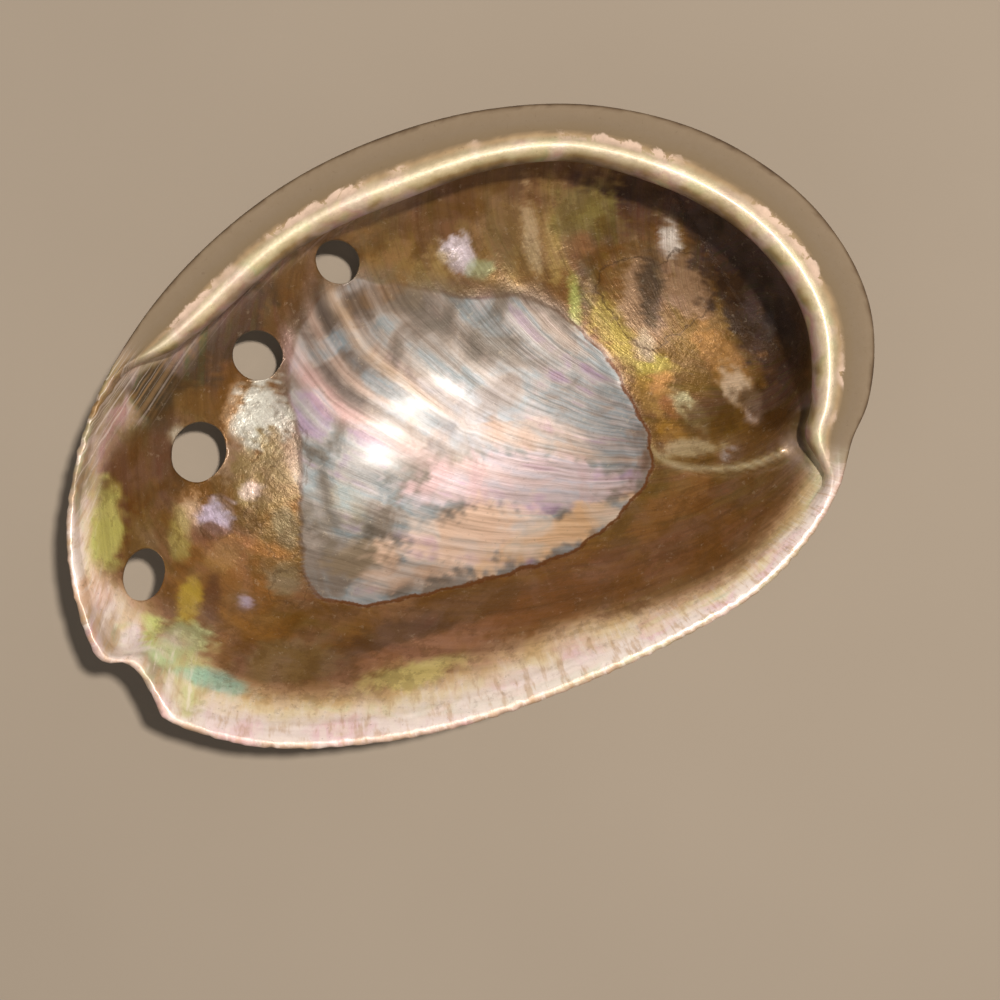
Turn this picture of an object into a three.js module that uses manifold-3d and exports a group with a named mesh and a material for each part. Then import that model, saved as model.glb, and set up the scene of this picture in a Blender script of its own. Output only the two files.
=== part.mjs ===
// An abalone shell lying on its back, hollow side up. Millimetres, +Z up.
// +X runs towards the spire along the shell's length, +Y towards the shelf, -Y towards the growing lip.
import * as THREE from "three";
import Module from "manifold-3d";
import { mergeVertices } from "three/addons/utils/BufferGeometryUtils.js";

// Driving dimensions. Pairs are [degrees round the middle of the bowl, millimetres].
const RIM_RADIUS = [
  [-170, 76.2], [-163, 75.6], [-150, 69.8], [-130, 59.4], [-110, 53.2], [-90, 51.4], [-70, 54.5],
  [-50, 62.5], [-32, 69.2], [-20, 72.9], [-8, 75.2], [5, 73.5], [20, 68.7], [40, 61.4], [60, 55.3],
  [80, 51.9], [100, 51.6], [120, 53.9], [140, 59.2], [160, 67.1], [176, 73.2],
];
const RIM_BITES = [ // the newest hole, still open at the lip, and the step where the lip leaves the spire
  [-178, 0], [-171, 0], [-169.4, 1], [-168, 3.6], [-165.7, 4.3], [-162, 2.6], [-158.5, 0.2], [-154, 0],
  [-45, 0], [-34, 0.4], [-27, 1.5], [-22, 0.4], [-16, 0], [90, 0],
];
const RIM_HEIGHT = [
  [-165, 35.4], [-130, 34.4], [-90, 34.2], [-50, 35.6], [-20, 38], [20, 39.6], [60, 39.4], [100, 38.4],
  [150, 37],
];
const SHELF_WIDTH = [
  [-170, 1.5], [-60, 1.5], [-41, 1.6], [-36, 2.8], [-30, 6.2], [-24, 9.4], [-10, 11.4], [25, 12.1],
  [45, 10.5], [80, 11.5], [110, 10.5], [132, 10.4], [141, 8.4], [147, 4.9], [152, 2.4], [160, 1.7],
];
// How much thicker the wall is under the shelf's end, which runs down into the wall.
const SHELF_END_FILLET = [[-60, 0], [-42, 0], [-32, 2.2], [-22, 4.2], [-10, 2], [4, 0], [90, 0], [180, 0]];
const WALL_UPRIGHT = [[-90, 0.68], [0, 0.6], [90, 0.56], [180, 0.6]]; // less is more upright at the rim
const BOWL_FULLNESS = [[-90, 3.1], [0, 2.45], [90, 2.35], [180, 2.5]]; // how flat the middle of the bowl is
const LIP_SPREAD = [ // how far the growing lip spreads outwards, as a share of the radius
  [-178, 0.08], [-150, 0.15], [-120, 0.2], [-90, 0.22], [-60, 0.2], [-38, 0.12], [-24, 0.02], [0, 0],
  [90, 0], [140, 0], [165, 0.04],
];
const FLOOR_THICKNESS = 3.0;
const LIP_THICKNESS = 1.5;
const LIP_DEPTH = 4.5; // how far below the rim the inner wall starts, under a plain lip,
const SPREAD_LIP_DEPTH = 3.4; // under a spreading one
const SHELF_DEPTH = 11; // and under the full shelf
const REST_FACE_CUT = 0.8; // the worn face on the back that the shell rests on
const LEAN = { x: 0.05, y: 0.035 }; // the shell settles with its heavy shelf and spire over that face

const SPIRE = { x: 58.2, y: -6.8, bulge: 4.5, spread: 16 };
const HOLE_ROW = { radius: 122.3, growth: 0.77, start: 177.7 }; // a spiral about the spire
const OPEN_HOLES = [ // place on the row in degrees, width across the row and length along it
  { at: 177.7, across: 7.3, along: 9.7 },
  { at: 168.2, across: 9.8, along: 11.6 },
  { at: 158.7, across: 9.3, along: 9.3 },
  { at: 146.7, across: 8.6, along: 7.8 },
];
const SEALED_HOLES = [134, 121, 108];
const HOLE_UPRIGHT = 0.8; // 0 is square to the wall, 1 is upright
const COLLAR = { wall: 1.2, foot: 3.4, proud: 1.1 };
const HOLE_SIDES = 20;

// Mesh steps.
const COARSE_STEP = 5;
const FINE_STEP = 1.6;
const FINE_STRETCHES = [[-173, -155], [-34, -24], [140, 154]];
const BACK_ROWS = 13;
const INSIDE_ROWS = 13;

const SHELL_COLOUR = 0xb9a88c;

const radians = THREE.MathUtils.degToRad;
const { lerp } = THREE.MathUtils;

// A smooth closed curve of value against angle through the given pairs.
function around(pairs, angle) {
  const count = pairs.length;
  const key = (i) => {
    const turns = Math.floor(i / count);
    const [degrees, value] = pairs[i - turns * count];
    return [degrees + 360 * turns, value];
  };
  let i = 0;
  let at = angle;
  while (at < pairs[0][0]) at += 360;
  while (i < count - 1 && key(i + 1)[0] <= at) i += 1;
  const [before, from, to, after] = [key(i - 1), key(i), key(i + 1), key(i + 2)];
  const span = to[0] - from[0];
  const t = (at - from[0]) / span;
  const leaving = ((to[1] - before[1]) / (to[0] - before[0])) * span;
  const arriving = ((after[1] - from[1]) / (after[0] - from[0])) * span;
  const cubic = t * t * (3 - 2 * t);
  return lerp(from[1], to[1], cubic) + leaving * t * (1 - t) ** 2 - arriving * t * t * (1 - t);
}

// Everything that fixes the section of the shell in one direction from the middle.
function sectionAt(angle) {
  const shelf = around(SHELF_WIDTH, angle);
  const shelved = THREE.MathUtils.smoothstep(shelf, 2, 8); // 0 at the thin lip, 1 at the full shelf
  const spread = Math.max(around(LIP_SPREAD, angle), 0);
  return {
    radius: around(RIM_RADIUS, angle),
    bite: around(RIM_BITES, angle),
    height: around(RIM_HEIGHT, angle),
    upright: around(WALL_UPRIGHT, angle),
    fullness: around(BOWL_FULLNESS, angle),
    spread,
    spreading: THREE.MathUtils.smoothstep(spread, 0.03, 0.18),
    shelf,
    shelved,
    fillet: shelved * Math.max(around(SHELF_END_FILLET, angle), 0),
  };
}

// The back of the shell: rise runs from 0 at the middle to a quarter turn at the rim.
function backPoint(section, rise) {
  const up = 1 - Math.max(Math.cos(rise), 0) ** (2 * section.upright);
  const share = lerp(Math.sin(rise) ** (2 / section.fullness), up ** 4, section.spread);
  const r = section.radius * share - section.bite * THREE.MathUtils.smoothstep(share, 0.78, 1);
  return new THREE.Vector2(r, (section.height - 0.9) * up);
}

// The inner face is the back moved inwards by the wall's thickness.
function insidePoint(section, rise, thickness) {
  const step = 0.01;
  const ahead = backPoint(section, rise + step);
  const behind = backPoint(section, Math.max(rise - step, 0));
  const along = ahead.sub(behind).normalize();
  const point = backPoint(section, rise);
  return new THREE.Vector2(Math.max(point.x - along.y * thickness, 0), point.y + along.x * thickness);
}

// Rim, shelf top, rolled inner edge and underside: [part of the shelf's width, height over the rim].
const SHELF_OUTLINE = [
  [0.01, -0.45], [0.06, 0], [0.3, -0.2], [0.52, -0.1], [0.68, 0.5], [0.8, 0.5],
  [0.92, -0.5], [0.99, -2], [1, -3.2], [0.95, -4.4], [0.84, -5.6], [0.66, -7],
];
const LIP_OUTLINE = [
  [0.06, -0.45], [0.2, -0.15], [0.33, -0.03], [0.47, 0], [0.6, -0.03], [0.73, -0.15],
  [0.85, -0.35], [0.93, -0.7], [1, -1.1], [1.05, -1.6], [1.13, -2.3], [1.25, -3.2],
];

const SPREAD_LIP_OUTLINE = [
  [0.03, -0.45], [0.15, -0.15], [0.35, 0], [0.6, 0.05], [0.9, 0], [1.2, -0.2],
  [1.5, -0.45], [1.8, -0.75], [2.1, -1.05], [2.4, -1.4], [2.8, -1.8], [3.2, -2.3],
];

function edgePoint(section, i) {
  const [shelfPart, shelfRise] = SHELF_OUTLINE[i];
  const lipPart = lerp(LIP_OUTLINE[i][0], SPREAD_LIP_OUTLINE[i][0], section.spreading);
  const lipRise = lerp(LIP_OUTLINE[i][1], SPREAD_LIP_OUTLINE[i][1], section.spreading);
  const inwards = lerp(lipPart * LIP_THICKNESS, shelfPart * section.shelf, section.shelved);
  const rise = lerp(lipRise, shelfRise, section.shelved);
  return new THREE.Vector2(section.radius - section.bite - inwards, section.height + rise);
}

function sectionOutline(section) {
  const points = [];
  for (let i = 1; i <= BACK_ROWS; i += 1) {
    points.push(backPoint(section, (i / BACK_ROWS) * Math.PI / 2));
  }
  for (let i = 0; i < SHELF_OUTLINE.length; i += 1) {
    points.push(edgePoint(section, i));
  }
  const depth = lerp(lerp(LIP_DEPTH, SPREAD_LIP_DEPTH, section.spreading), SHELF_DEPTH, section.shelved);
  const top = Math.acos((depth / section.height) ** (1 / (2 * section.upright)));
  const rimThickness = LIP_THICKNESS + section.shelved + section.fillet;
  for (let i = 0; i < INSIDE_ROWS; i += 1) {
    const rise = top * (1 - i / INSIDE_ROWS);
    const thickness = lerp(FLOOR_THICKNESS, rimThickness, (rise / top) ** 2);
    points.push(insidePoint(section, rise, thickness));
  }
  return points;
}

// The wall bulges out round the spire, inside and outside alike, and the bulge fades towards the rim.
function spireBulge(x, y, underRim) {
  const away = Math.hypot(x - SPIRE.x, y - SPIRE.y) / SPIRE.spread;
  return SPIRE.bulge * Math.exp(-away * away) * THREE.MathUtils.smoothstep(underRim, 6, 18);
}

function columnAngles() {
  const angles = [];
  let angle = -180;
  while (angle < 180 - FINE_STEP) {
    angles.push(angle);
    const fine = FINE_STRETCHES.some(([from, to]) => angle >= from && angle < to);
    angle += fine ? FINE_STEP : COARSE_STEP;
  }
  return angles;
}

function leaning(x, y, z) {
  return z - LEAN.x * x - LEAN.y * y;
}

// The back's lowest height once the shell leans, found along the way that it leans.
function lowestHeight() {
  const heights = [];
  for (let r = 0; r < 30; r += 0.25) {
    const x = (r * LEAN.x) / Math.hypot(LEAN.x, LEAN.y);
    const y = (r * LEAN.y) / Math.hypot(LEAN.x, LEAN.y);
    heights.push(leaning(x, y, bulgingBack(x, y)));
  }
  return Math.min(...heights);
}

// The back is level where it has worn flat, and that face lies at z = 0.
function settled(x, y, z) {
  return Math.max(leaning(x, y, z) - REST_LEVEL, 0);
}

// The wall as one closed skin: sections round the middle, joined at the two poles.
function wallGeometry() {
  const angles = columnAngles();
  const rows = BACK_ROWS + SHELF_OUTLINE.length + INSIDE_ROWS;
  const positions = [0, 0, settled(0, 0, 0), 0, 0, settled(0, 0, FLOOR_THICKNESS)];
  for (const angle of angles) {
    const section = sectionAt(angle);
    const turn = radians(angle);
    for (const point of sectionOutline(section)) {
      const x = point.x * Math.cos(turn);
      const y = point.x * Math.sin(turn);
      positions.push(x, y, settled(x, y, point.y - spireBulge(x, y, section.height - point.y)));
    }
  }
  const indices = [];
  const at = (column, row) => 2 + (column % angles.length) * rows + row;
  for (let c = 0; c < angles.length; c += 1) {
    indices.push(0, at(c + 1, 0), at(c, 0));
    indices.push(1, at(c, rows - 1), at(c + 1, rows - 1));
    for (let r = 0; r < rows - 1; r += 1) {
      indices.push(at(c, r), at(c + 1, r), at(c, r + 1));
      indices.push(at(c + 1, r), at(c + 1, r + 1), at(c, r + 1));
    }
  }
  const geometry = new THREE.BufferGeometry();
  geometry.setAttribute("position", new THREE.Float32BufferAttribute(positions, 3));
  geometry.setIndex(indices);
  return geometry;
}

// Where the row of holes runs, at an angle about the spire.
function rowPoint(degrees) {
  const reach = HOLE_ROW.radius * Math.exp(-HOLE_ROW.growth * radians(HOLE_ROW.start - degrees));
  return new THREE.Vector2(
    SPIRE.x + reach * Math.cos(radians(degrees)),
    SPIRE.y + reach * Math.sin(radians(degrees)),
  );
}

// The back's height over a point of the plan, before and after the shell settles.
function bulgingBack(x, y) {
  const section = sectionAt(THREE.MathUtils.radToDeg(Math.atan2(y, x)));
  const away = Math.hypot(x, y);
  let low = 0;
  let high = Math.PI / 2;
  while (high - low > 1e-6) {
    const middle = (low + high) / 2;
    if (backPoint(section, middle).x < away) low = middle;
    else high = middle;
  }
  const { y: z } = backPoint(section, low);
  return z - spireBulge(x, y, section.height - z);
}

function backHeight(x, y) {
  return settled(x, y, bulgingBack(x, y));
}

// A frame on the back at a place on the row: x across the row, y out of the shell, z along the row.
// It leans from the wall's own normal, at 0, towards upright, at 1.
function rowFrame(degrees, upright) {
  const step = 0.5;
  const { x, y } = rowPoint(degrees);
  const slopeX = (backHeight(x + step, y) - backHeight(x - step, y)) / (2 * step);
  const slopeY = (backHeight(x, y + step) - backHeight(x, y - step)) / (2 * step);
  const out = new THREE.Vector3(slopeX, slopeY, -1).normalize();
  out.lerp(new THREE.Vector3(0, 0, -1), upright).normalize();
  const next = rowPoint(degrees + 1);
  const along = new THREE.Vector3(next.x - x, next.y - y, 0);
  along.addScaledVector(out, -along.dot(out)).normalize();
  const across = new THREE.Vector3().crossVectors(out, along);
  const frame = new THREE.Matrix4().makeBasis(across, out, along);
  return frame.setPosition(x, y, backHeight(x, y));
}

const REST_LEVEL = lowestHeight() + REST_FACE_CUT;
const wasm = await Module();
wasm.setup();

function solidOf(geometry, placing = new THREE.Matrix4()) {
  geometry.applyMatrix4(placing);
  geometry.deleteAttribute("normal");
  geometry.deleteAttribute("uv");
  const merged = mergeVertices(geometry);
  return new wasm.Manifold(new wasm.Mesh({
    numProp: 3,
    vertProperties: merged.attributes.position.array,
    triVerts: new Uint32Array(merged.index.array),
  }));
}

function geometryOf(solid) {
  const mesh = solid.getMesh();
  const geometry = new THREE.BufferGeometry();
  geometry.setAttribute("position", new THREE.BufferAttribute(mesh.vertProperties, 3));
  geometry.setIndex(new THREE.BufferAttribute(mesh.triVerts, 1));
  geometry.computeVertexNormals();
  return geometry;
}

// A low ring round a hole, from inside the wall to a little proud of the back.
function collar({ at, across, along }) {
  const depth = COLLAR.proud + FLOOR_THICKNESS / 3;
  const ring = new THREE.CylinderGeometry(1, 1, depth, HOLE_SIDES);
  const places = ring.attributes.position;
  for (let i = 0; i < places.count; i += 1) {
    const wall = places.getY(i) > 0 ? COLLAR.wall : COLLAR.foot;
    places.setX(i, places.getX(i) * (across / 2 + wall));
    places.setZ(i, places.getZ(i) * (along / 2 + wall));
  }
  ring.translate(0, COLLAR.proud - depth / 2, 0);
  return solidOf(ring, rowFrame(at, 0));
}

function holeCutter({ at, across, along }) {
  const reach = 24;
  const cutter = new THREE.CylinderGeometry(1, 1, reach, HOLE_SIDES);
  cutter.scale(across / 2, 1, along / 2);
  return solidOf(cutter, rowFrame(at, HOLE_UPRIGHT));
}

// A hole that closed as the shell grew is a low blunt bump on the back.
function sealedBump(at) {
  const bump = new THREE.SphereGeometry(4.6, 14, 8);
  bump.scale(1, 0.42, 1);
  return solidOf(bump, rowFrame(at, 0));
}

let shellSolid = solidOf(wallGeometry());
for (const hole of OPEN_HOLES) {
  shellSolid = shellSolid.add(collar(hole));
}
for (const at of SEALED_HOLES) {
  shellSolid = shellSolid.add(sealedBump(at));
}
for (const hole of OPEN_HOLES) {
  shellSolid = shellSolid.subtract(holeCutter(hole));
}

const nacre = new THREE.MeshStandardMaterial({ color: SHELL_COLOUR, roughness: 0.3, metalness: 0.2 });
const shell = new THREE.Mesh(geometryOf(shellSolid), nacre);
shell.name = "shell";

const abalone = new THREE.Group();
abalone.add(shell);

export default abalone;
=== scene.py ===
"""An abalone shell lying on its back: the grown form, its nacre, its crust, a plain floor and soft light.

Lengths are in millimetres until a mesh is made, when they become metres. The shell's frame has +X
towards the spire, +Y towards the inner shelf and +Z up out of the hollow.
"""
import math

import bpy
import numpy as np
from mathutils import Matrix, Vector, kdtree


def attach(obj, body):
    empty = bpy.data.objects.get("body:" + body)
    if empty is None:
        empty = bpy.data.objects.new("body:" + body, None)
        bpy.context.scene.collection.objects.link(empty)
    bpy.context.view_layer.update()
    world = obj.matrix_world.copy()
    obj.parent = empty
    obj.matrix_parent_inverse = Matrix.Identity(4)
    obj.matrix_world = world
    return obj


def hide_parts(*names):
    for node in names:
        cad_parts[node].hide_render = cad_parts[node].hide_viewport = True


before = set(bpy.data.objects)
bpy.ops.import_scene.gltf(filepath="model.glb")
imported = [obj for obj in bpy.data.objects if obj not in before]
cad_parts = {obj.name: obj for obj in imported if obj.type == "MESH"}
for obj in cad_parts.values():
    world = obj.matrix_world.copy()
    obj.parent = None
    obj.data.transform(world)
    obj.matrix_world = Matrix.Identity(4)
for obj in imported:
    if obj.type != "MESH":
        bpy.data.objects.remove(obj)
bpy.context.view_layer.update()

MM = 0.001

# ---------------------------------------------------------------- the grown form, as in the CAD model
# (angles are in degrees round the middle of the bowl, from +X towards +Y)

RIM_RADIUS = [
    (-170, 76.2), (-163, 75.6), (-150, 69.8), (-130, 59.4), (-110, 53.2), (-90, 51.4), (-70, 54.5),
    (-50, 62.5), (-32, 69.2), (-20, 72.9), (-8, 75.2), (5, 73.5), (20, 68.7), (40, 61.4), (60, 55.3),
    (80, 51.9), (100, 51.6), (120, 53.9), (140, 59.2), (160, 67.1), (176, 73.2),
]
RIM_BITES = [
    (-178, 0), (-171, 0), (-169.4, 1), (-168, 3.6), (-165.7, 4.3), (-162, 2.6), (-158.5, 0.2), (-154, 0),
    (-45, 0), (-34, 0.4), (-27, 1.5), (-22, 0.4), (-16, 0), (90, 0),
]
RIM_HEIGHT = [
    (-165, 35.4), (-130, 34.4), (-90, 34.2), (-50, 35.6), (-20, 38), (20, 39.6), (60, 39.4),
    (100, 38.4), (150, 37),
]
WALL_UPRIGHT = [(-90, 0.68), (0, 0.6), (90, 0.56), (180, 0.6)]
BOWL_FULLNESS = [(-90, 3.1), (0, 2.45), (90, 2.35), (180, 2.5)]
LIP_SPREAD = [
    (-178, 0.08), (-150, 0.15), (-120, 0.2), (-90, 0.22), (-60, 0.2), (-38, 0.12), (-24, 0.02), (0, 0),
    (90, 0), (140, 0), (165, 0.04),
]
SHELF_WIDTH = [
    (-170, 1.5), (-60, 1.5), (-41, 1.6), (-36, 2.8), (-30, 6.2), (-24, 9.4), (-10, 11.4), (25, 12.1),
    (45, 10.5), (80, 11.5), (110, 10.5), (132, 10.4), (141, 8.4), (147, 4.9), (152, 2.4), (160, 1.7),
]
SHELF_END_FILLET = [(-60, 0), (-42, 0), (-32, 2.2), (-22, 4.2), (-10, 2), (4, 0), (90, 0), (180, 0)]
FLOOR_THICKNESS = 3.0
LIP_THICKNESS = 1.5
EDGE_DROP = 0.9  # how far the back's end lies below the rim
LIP_DEPTH = 4.5
SPREAD_LIP_DEPTH = 3.4
SHELF_DEPTH = 11.0
REST_FACE_CUT = 0.8
LEAN = (0.05, 0.035)

SPIRE = (58.2, -6.8)
SPIRE_BULGE = 4.5
SPIRE_SPREAD = 16.0
ROW_RADIUS = 122.3
ROW_GROWTH = 0.77
ROW_START = 177.7
OPEN_HOLES = [(177.7, 7.3, 9.7), (168.2, 9.8, 11.6), (158.7, 9.3, 9.3), (146.7, 8.6, 7.8)]
SEALED_HOLES = [134, 121, 108]
HOLE_UPRIGHT = 0.8  # 0 for holes square to the wall, 1 for holes straight up and down

SHELF_OUTLINE = [
    (0.01, -0.45), (0.06, 0), (0.3, -0.2), (0.52, -0.1), (0.68, 0.5), (0.8, 0.5),
    (0.92, -0.5), (0.99, -2), (1, -3.2), (0.95, -4.4), (0.84, -5.6), (0.66, -7),
]
LIP_OUTLINE = [
    (0.06, -0.45), (0.2, -0.15), (0.33, -0.03), (0.47, 0), (0.6, -0.03), (0.73, -0.15),
    (0.85, -0.35), (0.93, -0.7), (1, -1.1), (1.05, -1.6), (1.13, -2.3), (1.25, -3.2),
]
SPREAD_LIP_OUTLINE = [
    (0.03, -0.45), (0.15, -0.15), (0.35, 0), (0.6, 0.05), (0.9, 0), (1.2, -0.2),
    (1.5, -0.45), (1.8, -0.75), (2.1, -1.05), (2.4, -1.4), (2.8, -1.8), (3.2, -2.3),
]

BACK_ROWS = 64
EDGE_STEPS = 4
INSIDE_ROWS = 92
COLUMNS = 430
SEAM_ROWS = 6  # rows on each side of the seam between the edge and the inner face that are evened out
SEAM_PASSES = 16


def smooth(value, low, high):
    """0 below low, 1 above high, and an even S between."""
    t = np.clip((value - low) / (high - low), 0, 1)
    return t * t * (3 - 2 * t)


def around(pairs, degrees):
    """A smooth closed curve of value against angle through the pairs."""
    places = np.array([p[0] for p in pairs], float)
    values = np.array([p[1] for p in pairs], float)
    places = np.concatenate([places[-2:] - 360, places, places[:3] + 360])
    values = np.concatenate([values[-2:], values, values[:3]])
    at = places[2] + np.mod(degrees - places[2], 360)
    i = np.searchsorted(places, at, side="right") - 1
    span = places[i + 1] - places[i]
    t = (at - places[i]) / span
    leaving = (values[i + 1] - values[i - 1]) / (places[i + 1] - places[i - 1]) * span
    arriving = (values[i + 2] - values[i]) / (places[i + 2] - places[i]) * span
    cubic = t * t * (3 - 2 * t)
    return (values[i] * (1 - cubic) + values[i + 1] * cubic
            + leaving * t * (1 - t) ** 2 - arriving * t * t * (1 - t))


class Section:
    """What fixes the shell's section in each direction from the middle of the bowl."""

    def __init__(self, degrees):
        self.radius = around(RIM_RADIUS, degrees)
        self.bite = around(RIM_BITES, degrees)
        self.height = around(RIM_HEIGHT, degrees)
        self.upright = around(WALL_UPRIGHT, degrees)
        self.fullness = around(BOWL_FULLNESS, degrees)
        self.spread = np.maximum(around(LIP_SPREAD, degrees), 0)
        self.spreading = smooth(self.spread, 0.03, 0.18)
        self.shelf = around(SHELF_WIDTH, degrees)
        self.shelved = smooth(self.shelf, 2, 8)
        self.fillet = self.shelved * np.maximum(around(SHELF_END_FILLET, degrees), 0)

    def back(self, rise):
        """The back, for a rise of 0 at the middle to a quarter turn at the rim."""
        up = 1 - np.cos(rise) ** (2 * self.upright)
        share = np.sin(rise) ** (2 / self.fullness) * (1 - self.spread) + self.spread * up ** 4
        r = self.radius * share - self.bite * smooth(share, 0.78, 1)
        return np.stack([r, (self.height - EDGE_DROP) * up], -1)

    def back_over(self, away):
        """The back's height at a distance from the middle."""
        low = np.zeros_like(away)
        high = np.full_like(away, math.pi / 2)
        for _ in range(30):
            middle = (low + high) / 2
            short = self.back(middle)[..., 0] < away
            low = np.where(short, middle, low)
            high = np.where(short, high, middle)
        return self.back(low)[..., 1]

    def inside(self, rise, thickness):
        """The inner face: the back moved inwards by the wall's thickness."""
        step = 0.01
        along = self.back(rise + step) - self.back(np.maximum(rise - step, 0))
        along /= np.linalg.norm(along, axis=-1, keepdims=True)
        point = self.back(rise)
        r = np.maximum(point[..., 0] - along[..., 1] * thickness, 0)
        return np.stack([r, point[..., 1] + along[..., 0] * thickness], -1)

    def edge(self, i):
        shelf_part, shelf_rise = SHELF_OUTLINE[i]
        plain, spread = LIP_OUTLINE[i], SPREAD_LIP_OUTLINE[i]
        lip_part = plain[0] + (spread[0] - plain[0]) * self.spreading
        lip_rise = plain[1] + (spread[1] - plain[1]) * self.spreading
        full = self.shelved
        inwards = lip_part * LIP_THICKNESS * (1 - full) + shelf_part * self.shelf * full
        rise = lip_rise * (1 - full) + shelf_rise * full
        return np.stack([self.radius - self.bite - inwards, self.height + rise], -1)


def spline(points, steps):
    """Points on a smooth curve through all but the first and last of the given ones."""
    curve = []
    for before, start, end, after in zip(points, points[1:], points[2:], points[3:]):
        for k in range(steps):
            t = k / steps
            curve.append(0.5 * (2 * start + (end - before) * t
                                + (2 * before - 5 * start + 4 * end - after) * t * t
                                + (3 * start - before - 3 * end + after) * t ** 3))
    return curve


def spire_bulge(x, y, under_rim):
    away = np.hypot(x - SPIRE[0], y - SPIRE[1]) / SPIRE_SPREAD
    return SPIRE_BULGE * np.exp(-away * away) * smooth(under_rim, 6, 18)


def bulging_back(x, y):
    """The back's height over a point of the plan, before the shell leans."""
    section = Section(np.degrees(np.arctan2(y, x)))
    z = section.back_over(np.hypot(x, y))
    return z - spire_bulge(x, y, section.height - z)


def leaning(x, y, z):
    return z - LEAN[0] * x - LEAN[1] * y


def rest_level():
    reach = np.arange(0, 30, 0.25)
    steep = math.hypot(*LEAN)
    x = reach * LEAN[0] / steep
    y = reach * LEAN[1] / steep
    return float(np.min(leaning(x, y, bulging_back(x, y)))) + REST_FACE_CUT


REST_LEVEL = rest_level()

# ---------------------------------------------------------------- the mesh


class Shell:
    """The whole skin as a grid: sections round the middle of the bowl, each running from the middle
    of the back over the rim and the shelf to the middle of the floor."""

    def __init__(self):
        degrees = np.linspace(-180, 180, COLUMNS, endpoint=False)
        section = Section(degrees)
        quarter = math.pi / 2
        back = [section.back(np.full(COLUMNS, k / BACK_ROWS * quarter)) for k in range(1, BACK_ROWS + 1)]
        depth = LIP_DEPTH + (SPREAD_LIP_DEPTH - LIP_DEPTH) * section.spreading
        depth = depth + (SHELF_DEPTH - depth) * section.shelved
        top = np.arccos((depth / section.height) ** (1 / (2 * section.upright)))
        rim_thickness = LIP_THICKNESS + section.shelved + section.fillet
        inside = []
        for k in range(INSIDE_ROWS):
            rise = top * (1 - k / INSIDE_ROWS)
            share = (rise / top) ** 2
            inside.append(section.inside(rise, FLOOR_THICKNESS * (1 - share) + rim_thickness * share))
        edge = [section.edge(i) for i in range(len(SHELF_OUTLINE))]
        edge = spline([back[-3], back[-1], *edge, inside[0], inside[3]], EDGE_STEPS)
        rows = np.array(back[:-1] + edge + inside)
        seam = len(rows) - INSIDE_ROWS
        start, end = seam - SEAM_ROWS, seam + SEAM_ROWS
        for _ in range(SEAM_PASSES):  # the turned edge runs into the inner face without a crease
            rows[start:end] = (rows[start - 1:end - 1] + 2 * rows[start:end] + rows[start + 1:end + 1]) / 4
        turn = np.radians(degrees)
        self.x = rows[..., 0] * np.cos(turn)
        self.y = rows[..., 0] * np.sin(turn)
        self.z = rows[..., 1] - spire_bulge(self.x, self.y, section.height - rows[..., 1])
        count = len(rows)
        self.row = np.repeat(np.arange(count)[:, None], COLUMNS, 1)
        self.first_edge = BACK_ROWS - 1
        self.first_inside = count - INSIDE_ROWS
        self.turn = np.repeat(turn[None], count, 0)
        self.section = section

    def faces(self):
        rows, columns = self.x.shape
        faces = []
        for c in range(columns):
            d = (c + 1) % columns
            faces.append((0, 2 + d, 2 + c))
            last = 2 + (rows - 1) * columns
            faces.append((1, last + c, last + d))
            for r in range(rows - 1):
                a = 2 + r * columns
                b = a + columns
                faces.append((a + c, a + d, b + d, b + c))
        return faces

    def settled(self):
        z = leaning(self.x, self.y, self.z) - REST_LEVEL
        points = np.stack([self.x, self.y, np.maximum(z, 0)], -1).reshape(-1, 3)
        poles = np.array([(0, 0, z[0].mean()), (0, 0, z[-1].mean())])
        return np.concatenate([np.maximum(poles, 0), points])


# ---------------------------------------------------------------- the grown details

SCAR = [
    (-29, 12), (-31.5, 5), (-37, -8), (-38.5, -15), (-36.5, -19.5), (-30, -23.5), (-18, -26.5), (-5, -28.8),
    (7, -30), (15, -29), (23.5, -25.8), (28.5, -22.5), (31, -17), (31, -5), (29, 4), (25.5, 12.5), (20, 18),
    (12.5, 21), (4.5, 26), (-3, 31), (-9, 33.5), (-14, 33), (-20, 29.5), (-25, 24), (-28, 18),
]
TONGUE = [
    (37, 17), (33.8, 12.5), (35, 4), (38.5, -1.5), (43, -0.5), (49, 0), (54, 4.5), (53, 10), (50, 13.5),
    (46.5, 12.5), (43, 15),
]
ISLANDS = [  # skins of nacre laid over the stained floor: outline points
    [(-29, 14), (-28.6, 8.8), (-31, 3), (-33, 3), (-33.4, 8), (-38, 6), (-44, -2), (-42, 5), (-36, 12)],
    [(-38.4, -1), (-36.6, -6), (-38, -9.5), (-42, -8), (-42.6, -3)],
    [(-39, -12), (-38.6, -16), (-42, -18), (-45.5, -15), (-43.5, -11.5)],
    [(-49, 7), (-46, 4.5), (-47, 0), (-51, -0.5), (-52, 4)],
]
CURL = [(60, -25.5), (58, -27.2), (53, -28.7), (45.3, -29), (37, -26), (31.2, -21.3), (30, -15), (30, -12)]
LIP_ABOUT_SPIRE = [
    (157, 114), (170, 128), (182, 133), (187, 130), (194, 121), (200, 108), (209, 93), (222, 72), (235, 57),
    (251, 44), (267, 35), (286, 27), (320, 20), (400, 18),
]
YOUNG_GROWTH = 0.42
SWELLINGS = [  # x, y, reach and height of low swellings on the floor
    (11, 28, 3.4, 1.1), (49, 15, 2.8, 1.0), (50.5, -15, 4.0, 0.9), (-30, 22, 5.0, 0.7), (36, 22, 4.0, 0.6),
    (-46, -9, 5.0, 0.5), (-52, -14, 4.0, 0.6),
]


def curve_of(points, closed=True, steps=8):
    points = [np.array(p, float) for p in points]
    if closed:
        points = [points[-1], *points, points[0], points[1]]
    return np.array(spline(points, steps))


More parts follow.
